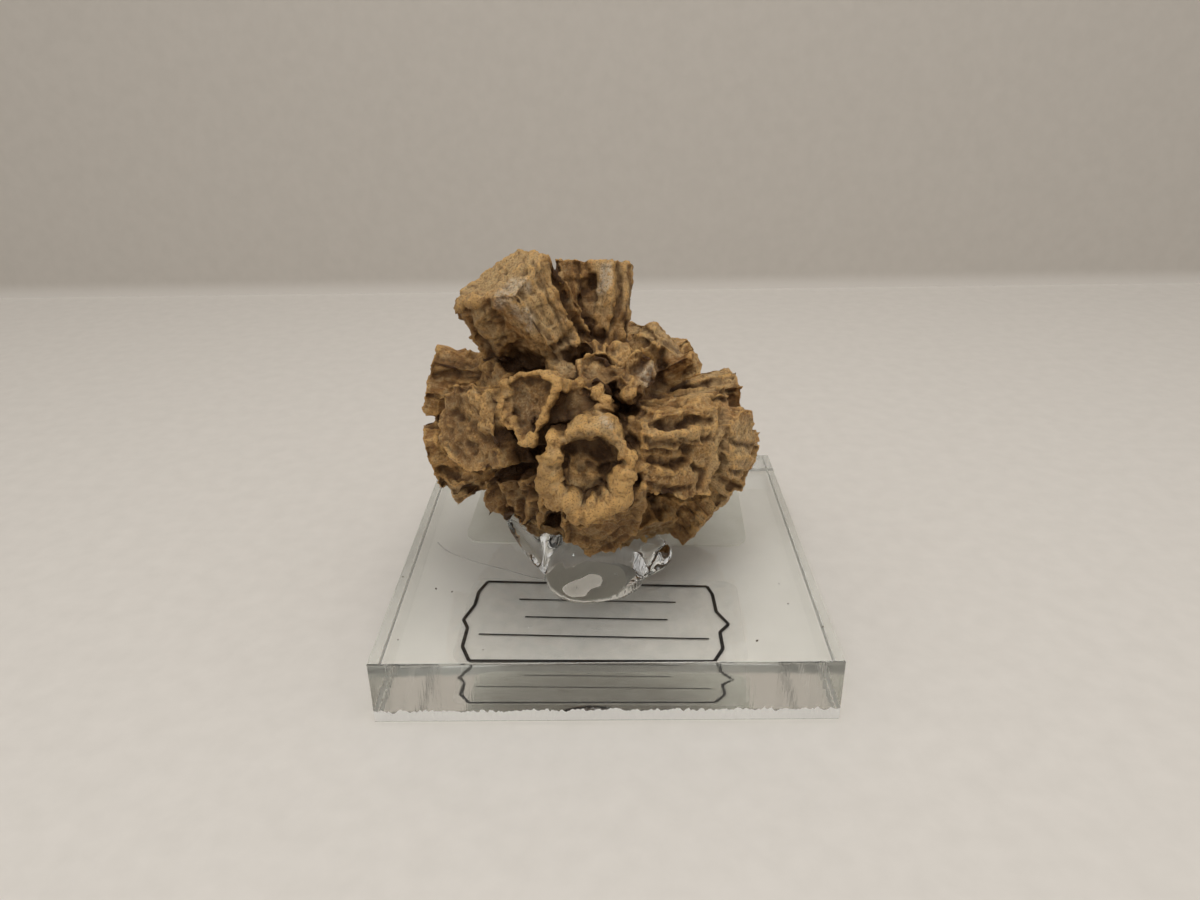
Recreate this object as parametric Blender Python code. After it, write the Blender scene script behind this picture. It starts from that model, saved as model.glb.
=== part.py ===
"""Calcite pseudomorph: a rosette of radiating prisms, glued to a clear acrylic square with two labels.

Lengths are in millimetres in this script and are scaled to metres where a mesh is made.
The frame: origin at the middle of the underside, +X to the right, +Y to the back, +Z up.
"""
import math
import random

import bmesh
import bpy
from mathutils import Matrix, Vector

# Driving sizes, millimetres
MM = 0.001
BASE_WIDTH = 50.8
BASE_TOP = 8.0
BASE_CHAMFER = 0.25
LABEL_THICKNESS = 0.2
FLAT_GAP = 0.2
FIT_GAP = 0.3
BASE_BOTTOM = LABEL_THICKNESS + FLAT_GAP

# The two labels under the base: width, depth, corner radius, middle and turn
PRINT_LABEL = dict(width=33.6, depth=16.8, corner=2.0, middle=(-0.5, -12.6), turn=-2.0)
PLAIN_LABEL = dict(width=39.0, depth=18.0, corner=2.5, middle=(0.2, 13.4), turn=-2.5)
CORNER_STEPS = 3

# The rosette: every prism grows outwards from its heart
HEART = Vector((-1.5, 2.0, 25.0))
CORE_RADIUS = 10.0
CORE_LUMP = 0.4
ROOT_START = 0.2
GROOVE_PITCH = 3.7
LEDGE_STEP = 0.03
LEDGE_IN = 0.97
LEDGE_OUT = 1.06
RIM_JAG = 0.25
RIM_DIP = -0.6
DISH_LUMP = 1.5
DISH_SLOPE = 0.8
DOME = -0.2
HIDDEN_SEED = 50
WELD = 0.004

# Colours, linear
CALCITE_COLOUR = (0.36, 0.23, 0.12, 1.0)
ACRYLIC_COLOUR = (0.86, 0.88, 0.86, 1.0)
GLUE_COLOUR = (0.88, 0.88, 0.86, 1.0)
FILM_COLOUR = (0.75, 0.75, 0.73, 1.0)
PAPER_COLOUR = (0.80, 0.78, 0.72, 1.0)


def clear_scene():
    for item in list(bpy.data.objects):
        bpy.data.objects.remove(item, do_unlink=True)


def make_material(name, colour, roughness, transmission=0.0):
    material = bpy.data.materials.new(name)
    material.use_nodes = True
    shader = material.node_tree.nodes["Principled BSDF"]
    shader.inputs["Base Color"].default_value = colour
    shader.inputs["Roughness"].default_value = roughness
    shader.inputs["Metallic"].default_value = 0.0
    shader.inputs["Transmission Weight"].default_value = transmission
    return material


def mesh_object(name, bm):
    """Makes an object from a bmesh in millimetres."""
    bmesh.ops.recalc_face_normals(bm, faces=bm.faces)
    bmesh.ops.transform(bm, matrix=Matrix.Scale(MM, 4), verts=bm.verts)
    mesh = bpy.data.meshes.new(name)
    bm.to_mesh(mesh)
    bm.free()
    item = bpy.data.objects.new(name, mesh)
    bpy.context.scene.collection.objects.link(item)
    return item


def loft(rings, peak=None):
    """A closed body through rings of equal count, with a face across each end or a fan of faces to a peak."""
    bm = bmesh.new()
    made = []
    for ring in rings:
        made.append([bm.verts.new(point) for point in ring])
    count = len(rings[0])
    for lower, upper in zip(made, made[1:]):
        for i in range(count):
            j = (i + 1) % count
            bm.faces.new((lower[i], lower[j], upper[j], upper[i]))
    bm.faces.new(made[0])
    if peak is None:
        bm.faces.new(made[-1])
    else:
        tip = bm.verts.new(peak)
        for i in range(count):
            bm.faces.new((made[-1][i], made[-1][(i + 1) % count], tip))
    bmesh.ops.triangulate(bm, faces=bm.faces)
    return bm


def outer_shell(mesh):
    """Keeps the outer skin of a solid and drops the small hollows that a union closed over."""
    bm = bmesh.new()
    bm.from_mesh(mesh)
    shells = []
    unseen = set(bm.faces)
    while unseen:
        shell = [unseen.pop()]
        for face in shell:
            for edge in face.edges:
                for other in edge.link_faces:
                    if other in unseen:
                        unseen.discard(other)
                        shell.append(other)
        shells.append(shell)
    shells.sort(key=len)
    for shell in shells[:-1]:
        bmesh.ops.delete(bm, geom=shell, context="FACES")
    bmesh.ops.dissolve_degenerate(bm, edges=bm.edges, dist=WELD * MM)
    bmesh.ops.triangulate(bm, faces=bm.faces)
    bm.to_mesh(mesh)
    bm.free()


def combine(name, pieces, operation):
    """Joins closed bodies to the first one, or cuts them from it, as one solid."""
    group = bpy.data.collections.new(name)
    bpy.context.scene.collection.children.link(group)
    first = pieces[0]
    for piece in pieces[1:]:
        group.objects.link(piece)
    boolean = first.modifiers.new(name, "BOOLEAN")
    boolean.operation = operation
    boolean.solver = "EXACT"
    boolean.use_self = True
    boolean.operand_type = "COLLECTION"
    boolean.collection = group
    bpy.context.view_layer.update()
    evaluated = first.evaluated_get(bpy.context.evaluated_depsgraph_get())
    mesh = bpy.data.meshes.new_from_object(evaluated)
    outer_shell(mesh)
    for piece in pieces:
        bpy.data.objects.remove(piece, do_unlink=True)
    bpy.data.collections.remove(group)
    item = bpy.data.objects.new(name, mesh)
    bpy.context.scene.collection.objects.link(item)
    return item


# The rosette's prisms

def direction(heading, lift):
    """Heading 0 faces the front and 90 the right. Lift is the angle above the level."""
    turn = math.radians(heading)
    rise = math.radians(lift)
    return Vector((math.sin(turn) * math.cos(rise), -math.cos(turn) * math.cos(rise), math.sin(rise)))


def grooved(corners, depth):
    """The outline with grooves let into its long sides, so that its walls are ribbed."""
    outline = []
    ends = corners[1:] + corners[:1]
    for here, there in zip(corners, ends):
        here = Vector(here)
        there = Vector(there)
        outline.append(here)
        ribs = int((there - here).length / GROOVE_PITCH + 0.5)
        for k in range(ribs):
            groove = here.lerp(there, (k + 0.5) / ribs)
            outline.append(groove - groove.normalized() * depth)
            if k < ribs - 1:
                outline.append(here.lerp(there, (k + 1.0) / ribs))
    return outline


def hexagon(width, height, seed):
    """A rough hexagon for a prism that the photograph doesn't show."""
    dice = random.Random(seed)
    corners = []
    for k in range(6):
        angle = math.radians(60 * k + dice.uniform(-12, 12))
        reach = dice.uniform(0.9, 1.08) / 2
        corners.append((width * reach * math.cos(angle), height * reach * math.sin(angle)))
    return corners


def prism(heading, lift, reach, corners, root=0.5, size=1.0, dish=0.3, rim=0.86, depth=0.35, ledge=0.6,
          turn=0.0, grow=0.0, seed=1):
    """One prism of the rosette, wider at its outer end, with a jagged rim round a dished cap.

    reach is from the heart to the cap, and corners are the cap's outline, (right, up), as seen from outside.
    root is the share of the cap's size at the heart, dish the depth of the cap, depth that of the grooves.
    size scales the outline. rim is how far out the dish begins, as a share of the cap, and a dish below 0 is
    a dome. ledge is where along the prism a step runs round it. turn rolls the cap by so many degrees. grow
    gives the plain, thicker form that holds the prism and is cut from what touches it.
    """
    dice = random.Random(seed)
    axis = direction(heading, lift)
    right = Vector((0, 0, 1)).cross(axis).normalized()
    up = axis.cross(right)
    roll = Matrix.Rotation(math.radians(turn), 2)
    outline = [roll @ point * size for point in grooved(corners, depth)]
    jag = [dice.uniform(-RIM_JAG, RIM_JAG) for _ in outline]

    def ring(share, along, tip=0.0, ragged=0.0):
        points = []
        for flat, rough in zip(outline, jag):
            spot = flat * share + flat.normalized() * grow
            height = reach * along + tip + ragged * rough
            points.append(HEART + axis * height + right * spot.x + up * spot.y)
        return points

    def share_at(along):
        return root + (1.0 - root) * along

    inner = ring(share_at(ROOT_START), ROOT_START)
    if grow:
        return loft([inner, ring(share_at(ledge) * LEDGE_OUT, ledge), ring(1.0, 1.0, RIM_JAG + grow)])
    return loft([
        inner,
        ring(share_at(ledge) * LEDGE_IN, ledge),
        ring(share_at(ledge) * LEDGE_OUT, ledge + LEDGE_STEP),
        ring(1.0, 1.0, ragged=1.0),
        ring(rim, 1.0, ragged=RIM_DIP),
        ring(rim * DISH_SLOPE, 1.0, -dish, DISH_LUMP),
    ], HEART + axis * (reach - dish))


# Outlines of the caps that the photograph shows, millimetres to the right and up from the prism's axis
TOP_LEFT = [(-3.0, -5.6), (-5.0, -3.3), (-4.4, 0.8), (-2.3, 4.9), (3.4, 5.6), (4.7, 2.8), (5.4, -0.7),
            (3.1, -2.0), (-0.3, -3.8)]
TOP = [(5.3, 1.0), (5.0, 3.4), (1.6, 3.9), (0.9, 2.9), (-2.4, 3.6), (-4.6, 2.2), (-4.4, -2.0), (-1.5, -3.6),
       (3.2, -3.4)]
RIGHT_TOP = [(-3.9, -2.6), (-3.6, 2.4), (0.5, 3.5), (3.6, 2.6), (3.9, -2.0), (0.4, -3.2)]
MIDDLE = [(-2.6, 1.2), (-0.8, 2.2), (0.9, 1.4), (2.4, 0.2), (1.9, -1.4), (0.4, -2.4), (-2.2, -1.4)]
MIDDLE_RIGHT = [(-1.9, 0.4), (-0.9, 2.0), (0.7, 2.7), (2.1, 1.3), (1.9, -0.7), (0.2, -2.1), (-1.7, -1.8)]
COLLARED = [(-3.1, 2.0), (-1.5, 3.4), (1.0, 3.8), (3.3, 3.1), (2.6, 0.4), (2.0, -1.4), (1.4, -4.0),
            (-0.2, -4.2), (-1.3, -2.9), (-2.9, -2.0), (-3.7, -0.1)]
COLLARED_RIGHT = [(-2.9, 1.7), (-0.5, 2.5), (1.6, 1.7), (3.1, 0.5), (2.8, -1.1), (-0.2, -2.1), (-3.1, -2.3)]
FRONT = [(-4.2, 3.4), (-1.1, 4.6), (2.0, 5.4), (3.9, 3.0), (5.2, 1.2), (4.2, -0.8), (3.9, -3.8), (1.7, -4.6),
         (-0.1, -5.6), (-1.8, -6.2), (-2.2, -4.7), (-4.0, -4.2), (-5.2, -1.6), (-5.2, 0.6)]
BELOW_FRONT = [(-4.8, 4.4), (-0.3, 3.8), (2.6, 4.6), (4.6, 6.6), (5.1, 2.6), (4.2, -1.6), (1.4, -4.9),
               (-1.6, -5.4), (-4.6, -2.4)]
LEFT = [(-4.7, 2.9), (-3.1, 4.5), (-0.9, 4.9), (2.4, 5.2), (3.7, 3.9), (3.8, 1.8), (4.6, -0.4), (5.6, -2.8),
        (3.0, -4.4), (0.2, -4.8), (-3.0, -3.9), (-5.0, -2.7), (-5.2, 0.2)]
SERRATED = [(-3.0, 2.6), (0.4, 3.8), (3.2, 4.6), (5.4, 3.4), (5.0, -0.2), (3.9, -3.2), (2.0, -1.9),
            (1.4, -3.6), (0.2, -1.6), (-1.3, -3.7), (-1.9, -2.0), (-3.9, -3.2), (-4.3, -0.6)]
RIGHT = [(-3.9, 4.6), (-1.7, 5.3), (2.2, 5.0), (6.0, 4.4), (6.4, 0.9), (6.0, -2.8), (4.6, -6.0), (0.9, -5.6),
         (-3.0, -4.0), (-4.5, -1.4), (-4.3, 1.9)]
SLAB = [(-3.9, 0.9), (-0.5, 1.5), (3.6, 1.0), (3.8, -0.9), (0.3, -1.4), (-3.6, -1.1)]
BLOCK = [(-3.6, 2.6), (-0.4, 3.4), (3.4, 2.8), (3.7, -1.8), (0.5, -3.4), (-3.4, -2.8)]
TALL_BLOCK = [(-3.0, 3.6), (0.2, 4.4), (3.1, 3.4), (3.6, -1.0), (2.6, -4.2), (-0.8, -4.6), (-3.3, -3.2)]
SPLINTER = [(-1.2, 0.9), (0.2, 1.3), (1.3, 0.5), (1.0, -1.0), (-0.5, -1.2)]

# Place, heading, lift and reach of each prism that shows, its cap, and what differs from the usual prism
SHOWN = [
    ("top_left", -59, 58, 22.1, TOP_LEFT, dict(root=0.8, size=1.02, depth=0.45)),
    ("top", 170, 72, 18.9, TOP, dict(root=0.8, dish=0.5, depth=0.6)),
    ("top_small", -60, 72, 15.5, SPLINTER, dict(root=0.7, dish=DOME)),
    ("top_low", -18, 61, 13.6, SPLINTER, dict(root=0.9, dish=DOME)),
    ("top_wedge", 6, 58, 13.2, SPLINTER, dict(root=0.9, size=1.2, dish=DOME)),
    ("top_nook", 30, 55, 12.2, BLOCK, dict(root=0.9, size=0.6, dish=DOME)),
    ("top_matrix", -22, 42, 12.4, BLOCK, dict(root=0.9, size=0.7, dish=DOME)),
    ("right_top", 90, 44, 13.4, RIGHT_TOP, dict(root=0.85, size=1.05, dish=DOME)),
    ("right_chip", 70, 33, 15.6, SPLINTER, dict(root=0.9, size=1.3, dish=DOME)),
    ("middle", 5, 41, 16.0, MIDDLE, dict(root=0.7, dish=0.5)),
    ("middle_right", 23, 35, 17.2, MIDDLE_RIGHT, dict(root=0.7, size=1.2, dish=0.5)),
    ("collared", -21, 25, 19.6, COLLARED, dict(root=0.6, size=1.05, dish=1.2, rim=0.8)),
    ("collared_right", -3, 27, 17.0, COLLARED_RIGHT, dict(root=0.7, dish=0.5)),
    ("front", 0, 6, 20.5, FRONT, dict(root=0.5, dish=2.2, rim=0.78)),
    ("below_front", 4, -17, 19.4, BELOW_FRONT, dict(root=0.6)),
    ("left", -41, 13, 20.4, LEFT, dict(root=0.6, dish=0.5)),
    ("left_back", -90, 15, 20.6, TALL_BLOCK, dict(root=0.6, depth=0.5)),
    ("left_fill", -66, 24, 14.6, BLOCK, dict(root=0.8, dish=DOME)),
    ("left_notch", -96, 0, 19.4, SLAB, dict(root=0.7, size=0.9, dish=DOME)),
    ("left_low", -84, -12, 20.8, TALL_BLOCK, dict(root=0.6)),
    ("left_slab", -74, -22, 19.8, SLAB, dict(root=0.7, dish=DOME)),
    ("serrated", -33, -16, 18.0, SERRATED, dict(root=0.6, depth=0.2)),
    ("right", 28, 7, 19.7, RIGHT, dict(root=0.55, depth=0.5)),
    ("right_terrace", 26, 13, 20.6, SLAB, dict(root=0.6, turn=-8, dish=DOME)),
    ("right_step", 20, 5, 20.1, SLAB, dict(root=0.6, size=0.7, turn=-12, dish=DOME)),
    ("right_slab", 46, 18, 19.0, SLAB, dict(root=0.75, size=1.15, turn=8, dish=DOME)),
    ("right_band", 55, 3, 21.0, TALL_BLOCK, dict(root=0.6, dish=DOME)),
    ("right_back", 97, 5, 18.6, BLOCK, dict(root=0.7, depth=0.5)),
    ("far_right", 84, -16, 20.8, TALL_BLOCK, dict(root=0.6, depth=0.5)),
    ("right_wedge", 72, -27, 19.8, SLAB, dict(root=0.7, turn=-15, dish=DOME)),
    ("low_right", 58, -34, 19.6, BLOCK, dict(root=0.7)),
    ("under_left", -28, -40, 16.5, BLOCK, dict(root=0.6)),
    ("under_right", 30, -38, 17.2, BLOCK, dict(root=0.6)),
]

# Heading, lift, reach, width and height of each prism behind, which the photograph hides
HIDDEN = [
    (145, 4, 20.5, 9.5, 9.0),
    (-142, 28, 20.5, 10.0, 9.5),
    (180, 8, 21.0, 10.0, 10.0),
    (122, -14, 20.5, 9.0, 9.5),
    (-125, -4, 20.0, 9.0, 9.0),
    (-158, -20, 19.5, 9.0, 8.0),
    (156, -28, 19.0, 9.0, 8.0),
    (105, -38, 18.0, 8.0, 7.0),
    (-112, -30, 18.5, 8.0, 7.0),
    (-110, 42, 17.0, 7.5, 7.0),
    (155, 20, 16.8, 7.5, 6.0),
    (-168, 48, 18.0, 8.0, 6.5),
    (180, -58, 15.5, 8.0, 7.0),
]


def core(grow):
    """The lump of calcite that the prisms grow from."""
    bm = bmesh.new()
    bmesh.ops.create_icosphere(bm, subdivisions=2, radius=CORE_RADIUS)
    for corner in bm.verts:
        spot = corner.co.copy()
        lump = math.sin(spot.x) * math.cos(spot.y) + math.sin(spot.z)
        corner.co = HEART + spot * (1.0 + (lump * CORE_LUMP + grow) / CORE_RADIUS)
    return bm


def make_rosette(name, grow=0.0):
    """All the prisms and the core in one solid, as they grew."""
    pieces = [mesh_object("core", core(grow))]
    for number, (place, heading, lift, reach, corners, details) in enumerate(SHOWN):
        grown = prism(heading, lift, reach, corners, grow=grow, seed=number, **details)
        pieces.append(mesh_object(place, grown))
    for number, (heading, lift, reach, width, height) in enumerate(HIDDEN):
        corners = hexagon(width, height, number)
        grown = prism(heading, lift, reach, corners, grow=grow, seed=HIDDEN_SEED + number)
        pieces.append(mesh_object("behind", grown))
    rosette = combine(name, pieces, "UNION")
    rosette.data.materials.append(make_material("calcite", CALCITE_COLOUR, 0.75))
    return rosette


# The clear glue: a saddle on the base that cradles the rosette, with a thin lobe on its left

GLUE_POINTS = 20

# Height, middle and half widths of each level
SADDLE = [
    (BASE_TOP + FLAT_GAP, -2.1, -9.8, 4.7, 4.7),
    (9.4, -1.5, -9.6, 6.0, 4.8),
    (11.0, -0.8, -9.3, 7.2, 4.9),
    (12.4, -0.1, -9.0, 8.2, 4.5),
    (13.6, -0.6, -8.8, 8.0, 3.9),
    (14.6, -0.8, -8.4, 6.8, 3.0),
]
LOBE = [
    (8.9, -6.6, -9.6, 0.9, 1.4),
    (11.5, -8.2, -9.6, 1.2, 1.6),
    (14.5, -9.9, -9.7, 1.1, 1.4),
    (17.2, -11.6, -9.8, 0.6, 0.9),
]


def oval(height, x, y, half_width, half_depth):
    points = []
    for k in range(GLUE_POINTS):
        angle = 2 * math.pi * k / GLUE_POINTS
        points.append(Vector((x + half_width * math.cos(angle), y + half_depth * math.sin(angle), height)))
    return points


def make_glue():
    saddle = mesh_object("saddle", loft([oval(*level) for level in SADDLE]))
    lobe = mesh_object("lobe", loft([oval(*level) for level in LOBE]))
    poured = combine("poured", [saddle, lobe], "UNION")
    print_of_rosette = make_rosette("print_of_rosette", FIT_GAP)
    glue = combine("mounting_glue", [poured, print_of_rosette], "DIFFERENCE")
    glue.data.materials.append(make_material("clear_glue", GLUE_COLOUR, 0.05, transmission=1.0))
    return glue


# The clear base and its labels

def make_base():
    bm = bmesh.new()
    height = BASE_TOP - BASE_BOTTOM
    bmesh.ops.create_cube(bm, size=1.0)
    bmesh.ops.scale(bm, vec=(BASE_WIDTH, BASE_WIDTH, height), verts=bm.verts)
    bmesh.ops.translate(bm, vec=(0, 0, BASE_BOTTOM + height / 2), verts=bm.verts)
    bmesh.ops.bevel(bm, geom=bm.edges[:], offset=BASE_CHAMFER, segments=1, affect="EDGES")
    base = mesh_object("acrylic_base", bm)
    base.data.materials.append(make_material("acrylic", ACRYLIC_COLOUR, 0.05, transmission=1.0))
    return base


def make_label(name, label, material):
    """A thin sticker with rounded corners, flat on the surface that the base stands on."""
    outline = []
    half_width = label["width"] / 2 - label["corner"]
    half_depth = label["depth"] / 2 - label["corner"]
    turn = math.radians(label["turn"])
    corners = [(half_width, half_depth), (-half_width, half_depth), (-half_width, -half_depth),
               (half_width, -half_depth)]
    for quarter, (x, y) in enumerate(corners):
        for step in range(CORNER_STEPS + 1):
            angle = math.pi / 2 * (quarter + step / CORNER_STEPS)
            spot = Vector((x + label["corner"] * math.cos(angle), y + label["corner"] * math.sin(angle)))
            outline.append(Matrix.Rotation(turn, 2) @ spot + Vector(label["middle"]))
    levels = []
    for height in (0.0, LABEL_THICKNESS):
        levels.append([Vector((spot.x, spot.y, height)) for spot in outline])
    sticker = mesh_object(name, loft(levels))
    sticker.data.materials.append(material)
    return sticker


clear_scene()
make_base()
make_label("print_label", PRINT_LABEL, make_material("clear_film", FILM_COLOUR, 0.3))
make_label("plain_label", PLAIN_LABEL, make_material("label_paper", PAPER_COLOUR, 0.6))
make_glue()
make_rosette("calcite_cluster")
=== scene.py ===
"""Looks of the calcite pseudomorph: a grainy rosette in clear glue, on an acrylic square with two labels.

Lengths are in millimetres in this script and are scaled to metres where a mesh is made. Places marked PIXEL
are in the photograph's own 1200 by 900 pixels.
"""
import math

import bmesh
import bpy
import numpy as np
from mathutils import Matrix, Vector, noise
from mathutils.bvhtree import BVHTree


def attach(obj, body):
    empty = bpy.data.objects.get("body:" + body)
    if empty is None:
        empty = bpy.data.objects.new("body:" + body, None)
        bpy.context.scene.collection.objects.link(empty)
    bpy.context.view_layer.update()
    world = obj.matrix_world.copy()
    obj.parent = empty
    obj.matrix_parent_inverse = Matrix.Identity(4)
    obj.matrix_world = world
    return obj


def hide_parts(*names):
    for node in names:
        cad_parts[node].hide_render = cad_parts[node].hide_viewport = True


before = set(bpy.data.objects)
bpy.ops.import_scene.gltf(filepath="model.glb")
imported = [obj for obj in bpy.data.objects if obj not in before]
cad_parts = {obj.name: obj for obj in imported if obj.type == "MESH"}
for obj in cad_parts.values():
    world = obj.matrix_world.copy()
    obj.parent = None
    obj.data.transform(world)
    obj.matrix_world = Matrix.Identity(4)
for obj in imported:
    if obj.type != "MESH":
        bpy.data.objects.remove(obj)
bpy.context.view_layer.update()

MM = 0.001

# The camera, as the photograph was taken
IMAGE_WIDTH = 1200
IMAGE_HEIGHT = 900
FOCAL_PIXELS = 895.9
CAMERA_PLACE = np.array([0.878, -101.66, 68.44])
CAMERA_PITCH = math.radians(25.015)
CAMERA_TURN = math.radians(0.812)
CAMERA_ROLL = math.radians(-0.936)
SENSOR_WIDTH = 36.0

# The rosette
HEART = np.array([-1.5, 2.0, 25.0])
VOXEL = 0.24
MOST_TRIANGLES = 196000

# The base and what is on and under it
BASE_HALF = 25.4
BASE_TOP = 8.0
BASE_BOTTOM = 0.19
SAW_STRIP = 1.7
STRIP_TEETH = 260
STRIP_RISE = 0.4
LABEL_TOP = 0.2


# Camera

def camera_axes():
    """The camera's right, up and forward directions."""
    forward = np.array([
        -math.sin(CAMERA_TURN) * math.cos(CAMERA_PITCH),
        math.cos(CAMERA_TURN) * math.cos(CAMERA_PITCH),
        -math.sin(CAMERA_PITCH),
    ])
    level = np.array([math.cos(CAMERA_TURN), math.sin(CAMERA_TURN), 0.0])
    above = np.cross(level, forward)
    right = level * math.cos(CAMERA_ROLL) + above * math.sin(CAMERA_ROLL)
    up = above * math.cos(CAMERA_ROLL) - level * math.sin(CAMERA_ROLL)
    return right, up, forward


RIGHT, UP, FORWARD = camera_axes()


def make_camera():
    camera = bpy.data.cameras.new("camera")
    camera.sensor_width = SENSOR_WIDTH
    camera.lens = FOCAL_PIXELS / IMAGE_WIDTH * SENSOR_WIDTH
    camera.clip_start = 0.001
    item = bpy.data.objects.new("camera", camera)
    turned = Matrix.Identity(4)
    for row in range(3):
        turned[row][0] = RIGHT[row]
        turned[row][1] = UP[row]
        turned[row][2] = -FORWARD[row]
        turned[row][3] = CAMERA_PLACE[row] * MM
    item.matrix_world = turned
    bpy.context.scene.collection.objects.link(item)
    bpy.context.scene.camera = item


def to_pixels(points):
    """Where points fall in the photograph, and how far off they are."""
    from_camera = points - CAMERA_PLACE
    away = from_camera @ FORWARD
    across = IMAGE_WIDTH / 2 + FOCAL_PIXELS * (from_camera @ RIGHT) / away
    down = IMAGE_HEIGHT / 2 - FOCAL_PIXELS * (from_camera @ UP) / away
    return np.stack([across, down], 1), away


def on_level(spot, height):
    """The place at a height, in millimetres, that falls on a PIXEL spot."""
    towards = (FORWARD + RIGHT * (spot[0] - IMAGE_WIDTH / 2) / FOCAL_PIXELS
               - UP * (spot[1] - IMAGE_HEIGHT / 2) / FOCAL_PIXELS)
    return CAMERA_PLACE + towards * (height - CAMERA_PLACE[2]) / towards[2]


# Helpers

def smooth_step(low, high, value):
    share = np.clip((value - low) / (high - low), 0.0, 1.0)
    return share * share * (3.0 - 2.0 * share)


def grain(points, size, seed, octaves=2):
    """Smooth noise, about -1 to 1, in lumps of the given size."""
    shift = Vector((seed * 7.3, seed * 3.1, seed * 5.7))
    return np.array([noise.fractal(Vector(spot) / size + shift, 1.0, 2.0, octaves) for spot in points])


def wander(points, size, seed):
    """A smooth random shift for each point."""
    return np.stack([grain(points, size, seed + shift, 1) for shift in (31, 32, 33)], 1)


def cells(points, seed):
    """For Voronoi cells one unit wide: the height of each point's cell, -1 to 1, and its depth inside."""
    shift = Vector((seed * 4.7, seed * 8.9, seed * 2.3))
    heights = np.empty(len(points))
    borders = np.empty(len(points))
    for k, spot in enumerate(points):
        far, centres = noise.voronoi(Vector(spot) + shift)
        heights[k] = 2.0 * noise.cell(centres[0] * 17.0) - 1.0
        borders[k] = far[1] - far[0]
    return heights, borders


def line_distance(spots, line):
    """How far spots are from a line through several points."""
    nearest = np.full(len(spots), np.inf)
    line = [np.array(point, dtype=float) for point in line]
    for start, end in zip(line, line[1:] or line):
        edge = end - start
        share = np.clip((spots - start) @ edge / max(edge @ edge, 1e-6), 0.0, 1.0)
        nearest = np.minimum(nearest, np.linalg.norm(spots - start - share[:, None] * edge, axis=1))
    return nearest


def new_object(name, mesh):
    item = bpy.data.objects.new(name, mesh)
    bpy.context.scene.collection.objects.link(item)
    return item


def evaluated_mesh(item):
    """The item's mesh with its modifiers applied, in place of the item."""
    bpy.context.view_layer.update()
    made = bpy.data.meshes.new_from_object(item.evaluated_get(bpy.context.evaluated_depsgraph_get()))
    bpy.data.objects.remove(item, do_unlink=True)
    return made


def remeshed(name, mesh, voxel):
    """One closed skin of even squares over a mesh."""
    item = new_object(name, mesh)
    remesh = item.modifiers.new("skin", "REMESH")
    remesh.mode = "VOXEL"
    remesh.voxel_size = voxel * MM
    return evaluated_mesh(item)


def thinned(name, mesh, most):
    """The mesh with at most so many triangles."""
    count = sum(len(face.vertices) - 2 for face in mesh.polygons)
    item = new_object(name, mesh)
    if count > most:
        thin = item.modifiers.new("thin", "DECIMATE")
        thin.ratio = most / count
    done = evaluated_mesh(item)
    done.validate()
    return done


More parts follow.
